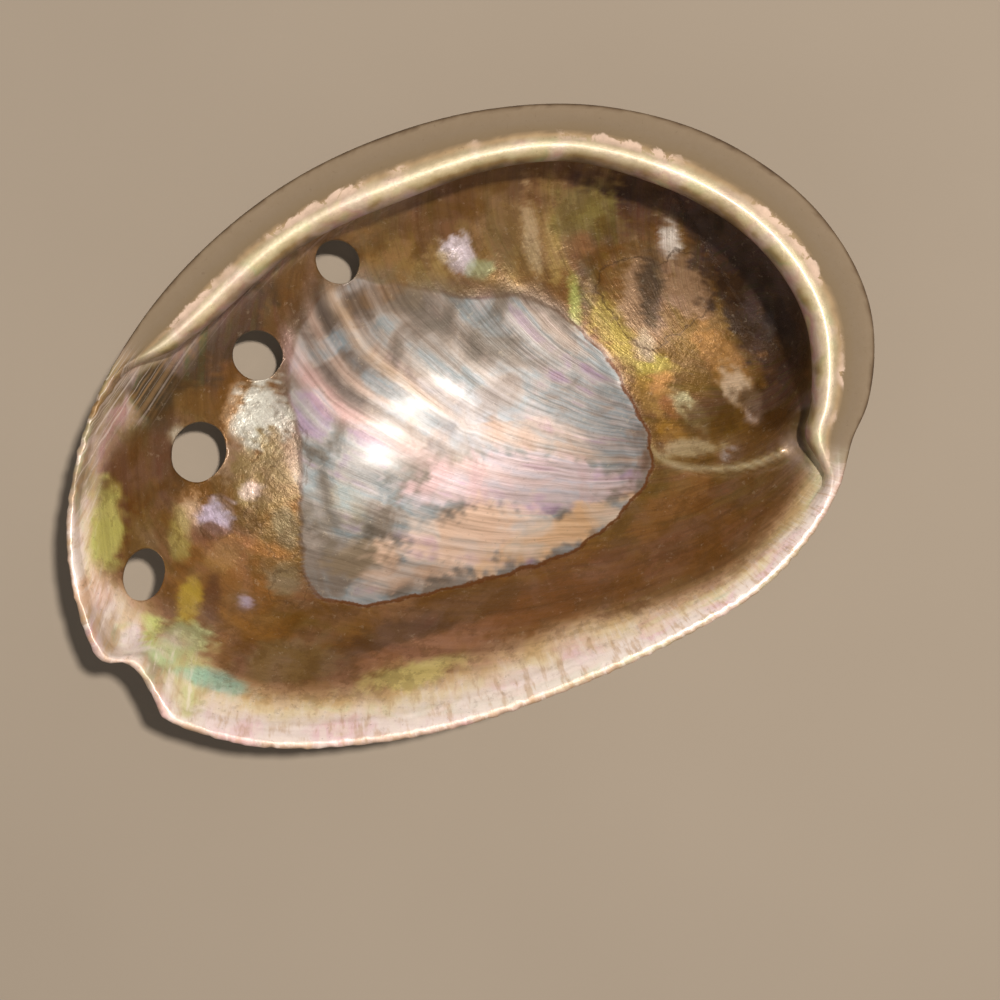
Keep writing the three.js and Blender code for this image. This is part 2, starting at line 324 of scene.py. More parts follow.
def distance_to(x, y, curve, closed=True):
    """The distance to a curve in plan, and the side that each point lies on."""
    nearest = np.full(x.shape, 1e9)
    side = np.zeros(x.shape)
    crossings = np.zeros(x.shape, int)
    ends = np.roll(curve, -1, 0)
    if not closed:
        curve, ends = curve[:-1], ends[:-1]
    for (ax, ay), (bx, by) in zip(curve, ends):
        ex, ey = bx - ax, by - ay
        t = np.clip(((x - ax) * ex + (y - ay) * ey) / (ex * ex + ey * ey), 0, 1)
        away = np.hypot(x - ax - t * ex, y - ay - t * ey)
        closer = away < nearest
        nearest = np.where(closer, away, nearest)
        side = np.where(closer, np.sign(ex * (y - ay) - ey * (x - ax)), side)
        if closed and ay != by:
            crossings += ((ay > y) != (by > y)) & (x < ax + ex * (y - ay) / ey)
    return (np.where(crossings % 2 == 1, nearest, -nearest), side) if closed else (nearest, side)


def growth_of(x, y):
    """How long ago each place was the growing lip, as a turn in radians, and where on that lip it was."""
    away = np.hypot(x - SPIRE[0], y - SPIRE[1])
    bearing = np.mod(np.degrees(np.arctan2(y - SPIRE[1], x - SPIRE[0])) - 100, 360) + 100
    age = np.full(x.shape, 4.5)
    found = np.zeros(x.shape, bool)
    before = np.full(x.shape, 1e3)
    step = 0.03
    for turn in np.arange(0, 4.5, step):
        place = bearing + math.degrees(turn)
        shrink = math.exp(-ROW_GROWTH * min(turn, 1.6) - YOUNG_GROWTH * max(turn - 1.6, 0))
        lip = np.where(place < 150, 1e3, np.interp(place, *zip(*LIP_ABOUT_SPIRE)) * shrink)
        crossed = (lip < away) & ~found
        part = (before - away) / np.maximum(before - lip, 1e-6)
        age = np.where(crossed, turn - step * (1 - np.clip(part, 0, 1)), age)
        found |= crossed
        before = lip
    return age, bearing + np.degrees(age)


def row_point(degrees):
    reach = ROW_RADIUS * math.exp(-ROW_GROWTH * math.radians(ROW_START - degrees))
    turn = math.radians(degrees)
    return np.array([SPIRE[0] + reach * math.cos(turn), SPIRE[1] + reach * math.sin(turn)])


def back_height(x, y):
    z = bulging_back(np.array([x]), np.array([y]))[0]
    return max(leaning(x, y, z) - REST_LEVEL, 0)


def row_frame(degrees, upright):
    """Axes on the back at a place on the row of holes: across it, out of the shell, and along it."""
    step = 0.5
    x, y = row_point(degrees)
    slope_x = (back_height(x + step, y) - back_height(x - step, y)) / (2 * step)
    slope_y = (back_height(x, y + step) - back_height(x, y - step)) / (2 * step)
    out = Vector((slope_x, slope_y, -1)).normalized().lerp(Vector((0, 0, -1)), upright).normalized()
    ahead = row_point(degrees + 1)
    along = Vector((ahead[0] - x, ahead[1] - y, 0))
    along = (along - out * along.dot(out)).normalized()
    return Vector((x, y, back_height(x, y))), out.cross(along), out, along


class Wobble:
    """Smooth, repeatable unevenness: a few waves in mixed directions."""

    def __init__(self, seed, size, waves=9):
        chance = np.random.default_rng(seed)
        heading = chance.uniform(0, 2 * math.pi, waves)
        pace = 2 * math.pi / (size * chance.uniform(0.7, 1.6, waves))
        self.along = np.stack([np.cos(heading), np.sin(heading)]) * pace
        self.start = chance.uniform(0, 2 * math.pi, waves)

    def at(self, x, y):
        waves = np.sin(x[..., None] * self.along[0] + y[..., None] * self.along[1] + self.start)
        return waves.mean(-1) * 1.6


def shape_details(shell):
    """Moves the smooth form's points up or down for everything that grew on it, and keeps the facts
    about each point that its colour needs."""
    x, y = shell.x, shell.y
    inner = smooth(shell.row, shell.first_edge - 1, shell.first_edge + 3)
    floor = smooth(shell.row, shell.first_inside - 4, shell.first_inside + 10)
    crust = 1 - smooth(shell.row, shell.first_edge - 16, shell.first_edge - 2)
    age, lip_place = growth_of(x, y)
    scar, _ = distance_to(x, y, curve_of(SCAR))
    ragged = scar + 0.5 * Wobble(3, 5).at(x, y)
    tongue, _ = distance_to(x, y, curve_of(TONGUE))
    islands = np.max([distance_to(x, y, curve_of(points))[0] for points in ISLANDS], 0)
    curl, lip_side = distance_to(x, y, curve_of(CURL, closed=False), closed=False)

    # the floor: the scar stands proud, the skins of nacre a little, and the curl is a step
    scar_foot = np.clip(smooth(-y, 12, 22) + smooth(x, 24, 30), 0, 1)
    scar_edge = np.clip(scar_foot + smooth(-x, 27, 31) * smooth(-y, -9, 0), 0, 1)
    rise = 0.2 * smooth(ragged, -2.5, 2.5) + 0.35 * scar_foot * smooth(ragged, -0.6, 0.6)
    rise += 0.2 * smooth(tongue, -0.7, 0.7) + 0.12 * smooth(islands, -0.8, 0.8)
    towards_spire = smooth(x, 29, 44) * (1 - smooth(x, 49, 56))
    step = np.where(lip_side > 0, -curl, curl)
    ledge = (0.6 + 3.4 * towards_spire) * (1 - smooth(x, 50, 57))
    rise += ledge * smooth(step, -1.6, 0.8) * np.exp(-np.maximum(step, 0) / 9)
    folds = smooth(-ragged, 0, 3) * smooth(x, 8, 18) * (1 - smooth(x, 34, 41)) * smooth(y, 10, 17)
    rise += 0.4 * folds * np.sin(age * 34 + 2 * Wobble(5, 20).at(x, y))
    rise += 0.05 * np.sin(age * 70 + Wobble(6, 24).at(x, y)) * smooth(scar, 0, 3)
    rise += 0.25 * Wobble(7, 16).at(x, y) * smooth(-scar, 0, 4)
    for cx, cy, reach, height in SWELLINGS:
        rise += height * np.exp(-((x - cx) ** 2 + (y - cy) ** 2) / reach ** 2)

    # the row of holes runs in a shallow groove inside, on a ridge outside
    row_age = np.radians(ROW_START - np.mod(np.degrees(np.arctan2(y - SPIRE[1], x - SPIRE[0])), 360))
    row_reach = ROW_RADIUS * np.exp(-ROW_GROWTH * row_age)
    off_row = np.hypot(x - SPIRE[0], y - SPIRE[1]) - row_reach
    ridge = np.exp(-(off_row / 4.5) ** 2) * smooth(-row_age, -1.9, -1.2)
    rise -= 0.7 * ridge
    sink = 1.1 * ridge
    for at, across, along in OPEN_HOLES:
        cx, cy = row_point(at)
        away = np.hypot(x - cx, y - cy) - (across + along) / 4
        sink += 1.5 * np.exp(-(np.maximum(away, -1) / 1.6) ** 2)
        rise += 0.35 * np.exp(-(away / 1.2) ** 2)
    for at in SEALED_HOLES:
        cx, cy = row_point(at)
        away = np.hypot(x - cx, y - cy)
        sink += 1.6 * np.exp(-(away / 3.4) ** 2)
        rise -= 0.5 * np.exp(-(away / 3) ** 2)

    # the back: growth ridges, spiral cords and an uneven crust
    ridges = np.abs(np.sin(age * 21 + 1.2 * Wobble(8, 22).at(x, y))) ** 3
    cords = np.sin(np.radians(lip_place) * 46 + 0.5 * Wobble(9, 12).at(x, y))
    coarse = 0.8 * ridges + 0.3 * cords * smooth(age, 0, 0.4) + 0.35 * Wobble(10, 9).at(x, y)
    near_rest = smooth(shell.z, 0.2, 4)
    sink = (sink + coarse) * crust * (0.25 + 0.75 * near_rest)
    shell.z = shell.z + rise * floor - sink
    lip = np.where(floor > 0, 0, 1) * (1 - shell.section.shelved)
    edge = smooth(shell.row, shell.first_edge - 6, shell.first_edge) * lip
    nibble = 0.22 * Wobble(11, 2.2).at(x, y) * edge
    shell.x = x * (1 - nibble / 60)
    shell.y = y * (1 - nibble / 60)

    reach = np.hypot(x, y)
    from_rim = shell.section.radius - shell.section.bite - reach
    across_shelf = from_rim / shell.section.shelf
    narrower = 0.7 * smooth(x, 0, 35) + 1.0 * smooth(-x, 50, 62) * smooth(y, -6, 4)
    fringe = from_rim * (1 + narrower)
    on_shelf = shell.section.shelved * smooth(shell.row, shell.first_edge, shell.first_edge + 3) * (1 - floor)
    return {
        "inner": inner, "floor": floor, "age": age, "lip_place": np.radians(lip_place), "scar": ragged,
        "scar_foot": scar_foot, "scar_edge": scar_edge, "tongue": tongue, "islands": islands,
        "fringe": fringe, "across_shelf": across_shelf, "on_shelf": on_shelf, "step": step,
    }


# ---------------------------------------------------------------- laid colour


def linear(code):
    """A hex colour as the red, green and blue that the renderer works in."""
    parts = np.array([int(code[i:i + 2], 16) / 255 for i in (0, 2, 4)])
    return np.where(parts <= 0.04045, parts / 12.92, ((parts + 0.055) / 1.055) ** 2.4)


FLOOR_TINTS = [  # x, y, half length, half width, heading in degrees, softness, colour, strength
    # under the shelf and round the spire: dark browns, partly real stain and partly painted shadow of the
    # shelf
    (46, 28, 26, 10, -25, 0.5, "5c3a0a", 0.85),
    (62, 4, 12, 30, 3, 0.35, "3a1a00", 0.97),
    (20, 38.5, 17, 4, -8, 0.5, "432400", 0.9),
    (41, 31, 13, 5, -35, 0.5, "3a1e00", 0.9),
    (20, 34, 26, 9, 0, 0.5, "7d5f2a", 0.85),
    (-20, 34, 20, 8, 15, 0.5, "73562a", 0.85),
    # the pleated fall from the shelf to the scar
    (24, 27, 18, 8, 0, 0.5, "a28a58", 0.85),
    (20, 29, 2.5, 8, -10, 0.6, "8f7650", 0.8),
    (26, 27, 1.6, 8, -15, 0.6, "d8bf94", 0.8),
    (29, 24, 1.4, 8, -18, 0.6, "b9a262", 0.8),
    (37, 27, 6, 5, -20, 0.5, "948e52", 0.85),
    (34.5, 22, 2.2, 2.4, 0, 0.6, "b08452", 0.75),
    (39, 22, 4, 2.4, -20, 0.6, "6e5a20", 0.8),
    (32, 14, 2, 6, -20, 0.6, "6f6248", 0.85),
    (28.5, 12, 1.2, 5, -20, 0.6, "b8c872", 0.85),
    (12.5, 29.5, 3.4, 3.4, 0, 0.6, "f6eaf6", 0.95),
    (4, 28, 6, 4, 0, 0.5, "b5a068", 0.8),
    (15, 26, 3, 2, 0, 0.6, "bcd0a8", 0.7),
    (-3, 32, 8, 4, 15, 0.5, "a4854e", 0.85),
    # the hollow of the spire: gold and olive, a bright skin beside the scar
    (44, -2, 15, 20, 0, 0.45, "8a7030", 0.85),
    (50, -1, 3, 9, 0, 0.6, "85692e", 0.8),
    (34.5, 2, 3.4, 10, 14, 0.5, "c4b25c", 0.9),
    (37, -5, 3.6, 3.4, 0, 0.6, "d6c662", 0.8),
    (35.5, -10, 3.4, 6, 12, 0.5, "c09a50", 0.9),
    (37.5, -7.5, 2.4, 2, 0, 0.6, "e8a862", 0.85),
    (37, -13, 1.6, 2.6, 0, 0.6, "b0764e", 0.7),
    (40.5, -15, 2, 5, 12, 0.6, "e2dcae", 0.85),
    (35, -17, 2.4, 3.4, 15, 0.6, "b88f3c", 0.85),
    (44, -17, 5, 4, 0, 0.5, "6e5220", 0.85),
    # gold nacre with a painted highlight and glint running down the ridge beside the hollow
    (50, -9, 3, 9, 6, 0.6, "c99a5c", 0.9),
    (50, -15, 2.4, 5, 6, 0.6, "ffe4c4", 0.9),
    (50, -20.5, 1.8, 2.2, 0, 0.7, "ffe6dc", 0.95),
    (49.3, 15.5, 2.2, 3.6, -15, 0.6, "fff4ea", 0.95),
    (41, 7.5, 5, 9, -25, 0.5, "b59a84", 0.9),
    (49, 6.5, 5, 6, 0, 0.5, "ac927c", 0.9),
    (43, 9, 2.4, 7, -18, 0.6, "4c3e2c", 0.9),
    (38, 0, 1.8, 2.6, 0, 0.6, "cbb9a0", 0.8),
    # painted shadow: the shelf's shadow over the far side of the spire hollow, and shade in the pocket above
    # the curl
    (58.5, 4, 6, 26, 3, 0.3, "2e1500", 0.9),
    (54, -21, 6, 6, 0, 0.4, "3a2208", 0.8),
    # painted highlights: a pale line along the top of the curl, a glint beside it, and a bright spot on the
    # shelf's rounded end
    (37, -21.5, 7, 1.6, -18, 0.6, "d9c49a", 0.85),
    (43, -25.5, 2, 1.4, 0, 0.7, "f2ecf4", 0.9),
    (56.5, -32, 4.5, 1.7, 5, 0.6, "fff0dc", 0.95),
    (48, -31, 8, 3, 10, 0.5, "8a7052", 0.85),
    # the flank outside the row of holes
    # these three dark bands along the left end of the shelf are painted shade under it
    (-50, 22, 14, 8, 48, 0.5, "6c5230", 0.85),
    (-46, 29, 9, 5, 40, 0.5, "4c402c", 0.9),
    (-32, 33, 12, 4, 28, 0.5, "4c4028", 0.9),
    (-57, 24, 3, 6, -40, 0.5, "978058", 0.85),
    (-48.5, 19.5, 1.8, 1.3, 40, 0.7, "ddd4bd", 0.9),
    (-59, 14, 4.5, 9, -40, 0.5, "744e20", 0.85),
    (-66, 20, 4, 15, -36, 0.5, "a38c6e", 0.9),
    (-66, 8, 2.6, 8, -24, 0.6, "dcd878", 0.95),
    (-71.5, -1, 3, 4.4, -15, 0.6, "e6bc98", 0.95),
    (-73, -8, 3, 4, -10, 0.6, "9c8462", 0.9),
    (-62, 3, 2.4, 7, -24, 0.5, "8d7648", 0.85),
    # between the holes and the scar: a pale skin, then a stained and chipped patch
    (-44, 22, 4, 5, 40, 0.5, "8c6e3e", 0.85),
    (-38.5, 19.5, 1.5, 6, -35, 0.6, "c9a680", 0.8),
    (-34, 15, 5.2, 8.6, -25, 0.5, "fcfdf4", 1),
    (-43, 12, 4, 4, 0, 0.5, "b29a88", 0.9),
    (-37, 6, 6, 8, -20, 0.5, "97895e", 0.9),
    (-31.4, 7.5, 2, 4, 0, 0.6, "b39c88", 0.9),
    (-49, -7, 11, 8, -30, 0.5, "9c7038", 0.9),
    (-50, -4, 4, 3, 0, 0.5, "b08c54", 0.85),
    (-40, -7, 6, 8, 0, 0.5, "8f7442", 0.85),
    (-38.6, -4.5, 2.4, 4, 0, 0.6, "9a927a", 0.9),
    (-42, -13, 3, 3, 0, 0.6, "968b70", 0.9),
    (-43.5, -6, 5.5, 1.4, -42, 0.6, "b08048", 0.8),
    (-41, 4.8, 2, 1.6, 0, 0.7, "f8ded2", 0.95),
    (-45, 0, 3, 2, 0, 0.5, "7c5c2c", 0.8),
    (-52.5, 5, 2.2, 4, -25, 0.6, "e0bc96", 0.9),
    (-56, 2, 1.8, 4.6, -22, 0.6, "b8ae68", 0.8),
    (-49, 3.5, 3, 3.4, 0, 0.6, "e4d6f2", 0.95),
    (-51.5, 0.8, 3, 1.8, -20, 0.6, "744f24", 0.8),
    (-58.8, -10, 2, 5.4, -32, 0.6, "c8ae3c", 0.85),
    (-55, -10.5, 1.4, 4.4, -25, 0.6, "6f4828", 0.85),
    (-50, -13.6, 1.5, 2, 0, 0.7, "cdbcd8", 0.9),
    (-40, -21, 8, 3.4, -15, 0.5, "7c5814", 0.9),
    (-50, -18.5, 6, 3, -25, 0.5, "9a7236", 0.9),
    # the corner by the notch
    (-68.5, -11.5, 2, 2.6, 0, 0.6, "fbe2ea", 0.95),
    (-65.8, -12, 1.5, 3, 0, 0.6, "e0ea88", 0.95),
    (-66.5, -19, 3, 4, -20, 0.5, "a8946e", 0.85),
    (-62, -16, 4, 4, -30, 0.5, "c6d29a", 0.9),
    (-63, -23, 3.6, 6, -30, 0.5, "d8d494", 0.9),
    (-59, -24.5, 6, 1.7, -42, 0.8, "98d2c4", 0.75),
    (-46, -27, 10, 4, -22, 0.5, "8d7850", 0.85),
    # the lip: gold patches and the brown growth bands inside it
    (-27, -37.6, 9, 2.6, -10, 0.6, "ead98a", 0.85),
    (-16, -30.5, 16, 3.2, -8, 0.5, "805f34", 0.9),
    (-26, -31, 12, 2.6, -10, 0.5, "705230", 0.85),
    (-18, -35.6, 18, 2.2, -8, 0.5, "b4876a", 0.8),
    (5, -36, 16, 4, 4, 0.5, "8d6234", 0.85),
    (30, -35, 16, 6, 22, 0.5, "8a6234", 0.85),
    (46, -30, 9, 6, 30, 0.5, "806238", 0.85),
    (30, -29, 10, 3, 20, 0.5, "a47c4c", 0.8),
]
SCAR_TINTS = [
    # the first, broad dark tint on the scar's left is painted shade
    (-25, -4, 9, 18, 10, 0.5, "5a5042", 0.9),
    (-26, -5, 3, 6, 0, 0.6, "8a8068", 0.85),
    (-32, -3, 1.6, 10, 0, 0.6, "7d7060", 0.8),
    (-21, -10, 2.4, 9, 5, 0.6, "7a6c5e", 0.8),
    (-28, -16, 6, 4, -20, 0.5, "94826a", 0.85),
    (-8, 24, 14, 8, 30, 0.5, "6f5e4e", 0.85),
    (-2, 26, 8, 4, 30, 0.5, "8a7c6a", 0.8),
    (8, 16, 14, 9, 10, 0.5, "756b60", 0.9),
    (22, 9, 9, 4, -50, 0.5, "b3a59c", 0.85),
    # these two pale tints make a diagonal band through the scar's middle: a painted highlight
    (-2, 2, 12, 8, -40, 0.5, "c8c0c0", 0.85),
    (4, 0, 17, 6, -36, 0.5, "c8ccd8", 0.95),
    (13, 0, 13, 6, -38, 0.5, "a89a94", 0.8),
    (14, -9, 14, 4, -30, 0.5, "dcb8a0", 0.75),
    (2, -12, 18, 5, -18, 0.5, "f0cfd6", 0.9),
    (12, -19, 14, 4, -14, 0.5, "e0c6cc", 0.85),
    (-8, -20, 16, 6, -10, 0.5, "ffdcc4", 0.95),
    (8, -26, 16, 3, -2, 0.5, "f6cca0", 0.9),
    (26, -13, 5, 9, 10, 0.5, "7c6250", 0.9),
    (22, -4, 5, 9, 30, 0.5, "8d7c72", 0.8),
    (-22, -21, 9, 2.4, -12, 0.6, "c9a890", 0.85),
    (-5, 29, 6, 2, 5, 0.6, "8f6d44", 0.85),
]
COLOUR_FACTS = ("floor", "scar_edge", "step")  # only the laid colour needs these
SCAR_ARCS = [  # how long ago, half width, colour and strength of the broad bands on the scar's older side
    (0.5, 0.02, "e8bfbe", 0.8), (0.535, 0.013, "6a5a54", 0.8), (0.562, 0.011, "d9bcae", 0.75),
    (0.59, 0.015, "62544c", 0.8), (0.622, 0.014, "dcc0a4", 0.75), (0.655, 0.018, "74685f", 0.7),
    (0.7, 0.016, "b9aca4", 0.6), (0.74, 0.014, "7f7268", 0.6),
]


def lay_tints(colour, tints, x, y, mottle):
    for cx, cy, length, width, heading, softness, code, strength in tints:
        turn = math.radians(heading)
        along = ((x - cx) * math.cos(turn) + (y - cy) * math.sin(turn)) / length
        across = ((y - cy) * math.cos(turn) - (x - cx) * math.sin(turn)) / width
        away = np.hypot(along, across) + 0.4 * mottle
        cover = (strength * (1 - smooth(away, 1 - 0.6 * softness, 1 + 0.5 * softness)))[..., None]
        colour = colour * (1 - cover) + linear(code) * cover
    return colour


def blend_stops(value, stops):
    """A colour that runs through the stops as the value grows."""
    places = [place for place, _ in stops]
    codes = np.array([linear(code) for _, code in stops])
    return np.stack([np.interp(value, places, codes[:, i]) for i in range(3)], -1)


# the near-white band from 1.6 to 4 mm in from the lip is pale nacre with a painted highlight on it
LIP_STOPS = [
    (0, "b8977c"), (0.7, "e8c8b2"), (1.6, "fff0ea"), (4, "fff0e8"), (6.5, "fae6c0"), (8.5, "ecca96"),
    (10.5, "c8a078"),
    (13, "947250"), (16, "805c34"), (20, "8a6432"), (26, "94703a"), (34, "866a36"),
]
# the pale cream band from 0.57 to 0.86 across the shelf is its paler nacre with a painted highlight along it
SHELF_STOPS = [
    (0, "4c3826"), (0.03, "6b5640"), (0.07, "8c7962"), (0.3, "84725c"), (0.5, "806c50"), (0.57, "b89a74"),
    (0.66, "dcc8a2"), (0.76, "f6e6c8"), (0.86, "dcc89c"), (0.93, "9a7e4c"), (1, "5e4522"),
]
WALL_TINT = "86622c"
STAIN_TAKES = (0.03, 0.17, 0.36)  # how much red, green and blue the brown film inside takes away


def lay_colour(shell, facts):
    x, y = shell.x, shell.y
    mottle = 0.8 * Wobble(21, 7).at(x, y) + 0.6 * Wobble(22, 2.6).at(x, y) + 0.35 * Wobble(23, 1.3).at(x, y)
    lip_side = smooth(-y, 4, 26) * (1 - smooth(x, 52, 66)) + smooth(-x, 60, 70)
    lip_side = np.clip(lip_side, 0, 1)[..., None]
    colour = np.broadcast_to(linear(WALL_TINT), x.shape + (3,))
    fringe = blend_stops(facts["fringe"] + 1.2 * mottle * smooth(facts["fringe"], 1, 6), LIP_STOPS)
    colour = colour * (1 - lip_side) + fringe * lip_side
    colour = lay_tints(colour, FLOOR_TINTS, x, y, mottle)
    # a painted highlight: a pale line along the top of the curl's step
    painted_curl_highlight = 0.75 * smooth(x, 26, 34) * (1 - smooth(x, 51, 57)) * facts["floor"]
    painted_curl_highlight = (painted_curl_highlight * np.exp(-((facts["step"] - 0.3) / 0.7) ** 2))[..., None]
    colour = colour * (1 - painted_curl_highlight) + linear("e4d3aa") * painted_curl_highlight
    stained = smooth(facts["fringe"], 8, 14) * (1 - smooth(colour.max(-1), 0.35, 0.7))
    colour = colour * (1 - stained[..., None] * np.array(STAIN_TAKES))
    scar_colour = np.broadcast_to(linear("8a7e74"), x.shape + (3,))
    scar_colour = lay_tints(scar_colour, SCAR_TINTS, x, y, mottle)
    older_side = smooth(-x, -8, 8) * smooth(y, -9, 3)
    for age, width, code, strength in SCAR_ARCS:
        away = (facts["age"] - age + 0.004 * mottle) / width
        cover = (strength * older_side * np.exp(-away * away))[..., None]
        scar_colour = scar_colour * (1 - cover) + linear(code) * cover
    soft = 0.25 + 3 * (1 - facts["scar_edge"])
    on_scar = smooth((facts["scar"] + 0.35 * soft) / soft, -1, 1)[..., None]
    colour = colour * (1 - on_scar) + scar_colour * on_scar
    shelf_colour = blend_stops(facts["across_shelf"] + 0.03 * mottle, SHELF_STOPS)
    on_shelf = facts["on_shelf"][..., None]
    return colour * (1 - on_shelf) + shelf_colour * on_shelf


# ---------------------------------------------------------------- the mesh with its holes


def new_object(name, points, faces):
    mesh = bpy.data.meshes.new(name)
    mesh.from_pydata([tuple(p) for p in np.array(points) * MM], [], faces)
    mesh.update()
    piece = bpy.data.objects.new(name, mesh)
    bpy.context.scene.collection.objects.link(piece)
    return piece


def hole_cutter(at, across, along, seed):
    """A long plug with the hole's slightly uneven oval section."""
    middle, side, out, ahead = row_frame(at, HOLE_UPRIGHT)
    sides, reach = 96, 12
    uneven = Wobble(seed, 1.2)
    points = []
    for end in (-reach, reach):
        for k in range(sides):
            turn = 2 * math.pi * k / sides
            bump = 1 + 0.03 * float(uneven.at(np.array(math.cos(turn)), np.array(math.sin(turn))))
            point = middle + out * end
            point += side * (across / 2 * bump * math.cos(turn)) + ahead * (along / 2 * bump * math.sin(turn))
            points.append(tuple(point))
    faces = [(sides + k, sides + (k + 1) % sides, (k + 1) % sides, k) for k in range(sides)]
    faces += [tuple(range(sides)), tuple(reversed(range(sides, 2 * sides)))]
    return new_object("hole_cutter", points, faces)


def cut_holes(piece):
    plugs = [hole_cutter(at, across, along, 40 + i) for i, (at, across, along) in enumerate(OPEN_HOLES)]
    for plug in plugs:
        cut = piece.modifiers.new("hole", "BOOLEAN")
        cut.operation = "DIFFERENCE"
        cut.solver = "EXACT"
        cut.object = plug
    bpy.context.view_layer.update()
    depsgraph = bpy.context.evaluated_depsgraph_get()
    cut_mesh = bpy.data.meshes.new_from_object(piece.evaluated_get(depsgraph))
    piece.modifiers.clear()
    piece.data = cut_mesh
    for plug in plugs:
        bpy.data.objects.remove(plug)


def write_facts(piece, grid_points, facts, colour):
    """Gives every vertex, those round the holes too, the facts of the nearest point of the grid."""
    tree = kdtree.KDTree(len(grid_points))
    for i, point in enumerate(grid_points):
        tree.insert(Vector(point * MM), i)
    tree.balance()
    nearest = np.array([tree.find(v.co)[1] for v in piece.data.vertices])
    for name, values in facts.items():
        layer = piece.data.attributes.new(name, "FLOAT", "POINT")
        layer.data.foreach_set("value", values.reshape(-1)[nearest].astype(np.float32))
    layer = piece.data.attributes.new("tint", "FLOAT_COLOR", "POINT")
    opaque = np.ones((len(nearest), 4), np.float32)
    opaque[:, :3] = colour.reshape(-1, 3)[nearest]
    layer.data.foreach_set("color", opaque.reshape(-1))


def make_shell():
    shell = Shell()
    facts = shape_details(shell)
    finish_facts = {name: values for name, values in facts.items() if name not in COLOUR_FACTS}
    points = shell.settled()
    piece = new_object("abalone_shell", points, shell.faces())
    cut_holes(piece)
    write_facts(piece, points[2:], finish_facts, lay_colour(shell, facts))
    piece.data.polygons.foreach_set("use_smooth", [True] * len(piece.data.polygons))
    return piece


# ---------------------------------------------------------------- finishes


class Field:
    """A number that varies over a surface: arithmetic on it adds Math nodes."""

    def __init__(self, finish, socket):
        self.finish = finish
        self.socket = socket

    def math(self, operation, *others):
        inputs = dict(enumerate((self, *others)))
        node = self.finish.node("ShaderNodeMath", {"operation": operation}, inputs)
        return Field(self.finish, node.outputs[0])

    def __add__(self, other):
        return self.math("ADD", other)

    def __mul__(self, other):
        return self.math("MULTIPLY", other)

    def __sub__(self, other):
        return self.math("SUBTRACT", other)

    def __rsub__(self, other):
        return (self * -1) + other

    __radd__ = __add__
    __rmul__ = __mul__

    def step(self, low, high):
        """0 below low, 1 above high, and an even S between."""
        settings = {"interpolation_type": "SMOOTHSTEP"}
        inputs = {"Value": self, "From Min": low, "From Max": high}
        return Field(self.finish, self.finish.node("ShaderNodeMapRange", settings, inputs).outputs[0])


class Finish:
    """A material and the few ways its nodes are made."""

    def __init__(self, name):
        self.material = bpy.data.materials.new(name)
        self.material.use_nodes = True
        self.tree = self.material.node_tree
        self.shader = self.tree.nodes["Principled BSDF"]

    def node(self, kind, settings=None, inputs=None):
        node = self.tree.nodes.new(kind)
        for name, value in (settings or {}).items():
            if name == "stops":
                self.set_stops(node.color_ramp, value)
            else:
                setattr(node, name, value)
        for name, value in (inputs or {}).items():
            self.feed(node.inputs[name], value)
        return node

    def feed(self, socket, value):
        if isinstance(value, Field):
            value = value.socket
        if isinstance(value, bpy.types.NodeSocket):
            self.tree.links.new(value, socket)
        else:
            socket.default_value = value

    def set_stops(self, ramp, stops):
        while len(ramp.elements) < len(stops):
            ramp.elements.new(1)
        for element, (place, code) in zip(ramp.elements, stops):
            element.position = place
            element.color = (*linear(code), 1)

    def fact(self, name):
        return Field(self, self.node("ShaderNodeAttribute", {"attribute_name": name}).outputs["Fac"])

    def tint(self, name):
        return self.node("ShaderNodeAttribute", {"attribute_name": name}).outputs["Color"]

    def noise(self, size, detail=3.0, roughness=0.55, distortion=0.0, at=None):
        """Unevenness from about 0.25 to 0.75 whose largest lumps measure size, in millimetres on the
        object or in the units of the given vector."""
        scale = 1 / size if at else 1 / (size * MM)
        at = at or self.node("ShaderNodeTexCoord").outputs["Object"]
        inputs = {"Vector": at, "Scale": scale, "Detail": detail, "Roughness": roughness,
                  "Distortion": distortion}
        return Field(self, self.node("ShaderNodeTexNoise", {}, inputs).outputs[0])

    def vector(self, x, y, z=0.0):
        return self.node("ShaderNodeCombineXYZ", {}, {"X": x, "Y": y, "Z": z}).outputs[0]

    def ramp(self, value, stops):
        return self.node("ShaderNodeValToRGB", {"stops": stops}, {"Fac": value}).outputs["Color"]

    def mix(self, factor, first, second, kind="MIX"):
        settings = {"data_type": "RGBA", "blend_type": kind, "clamp_factor": True}
        return self.node("ShaderNodeMix", settings, {0: factor, 6: first, 7: second}).outputs[2]

    def plain(self, code):
        return (*linear(code), 1)

    def bump(self, height, depth):
        """A bump of the given depth in millimetres."""
        inputs = {"Height": height, "Distance": depth * MM, "Strength": 1.0}
        return self.node("ShaderNodeBump", {}, inputs).outputs[0]

    def surface(self, **sockets):
        for name, value in sockets.items():
            self.feed(self.shader.inputs[name.replace("_", " ").title().replace("Ior", "IOR")], value)
        return self.material


NACRE_PLAY = [  # the colours that thin layers of nacre turn through, round the lip
    (0.0, "f8bccb"), (0.22, "f2eca8"), (0.34, "c4e4b0"), (0.44, "fbe0cc"), (0.56, "ffe8ea"), (0.7, "f8bcd0"),
    (0.84, "f8e4bc"), (1.0, "d8eccc"),
]
SCAR_PLAY = [  # and on the scar
    (0.0, "f2b8cc"), (0.24, "f6ded0"), (0.4, "f4f2f4"), (0.54, "b8dcf2"), (0.68, "f0f0f8"), (0.82, "d2b6ee"),
    (1.0, "f0bcd4"),
]
CRUST_BANDS = [
    (0.0, "4a2a20"), (0.22, "7c4632"), (0.4, "8a6244"), (0.52, "9c8a64"), (0.66, "6a6044"), (0.8, "a8947a"),
    (1.0, "c4b298"),
]


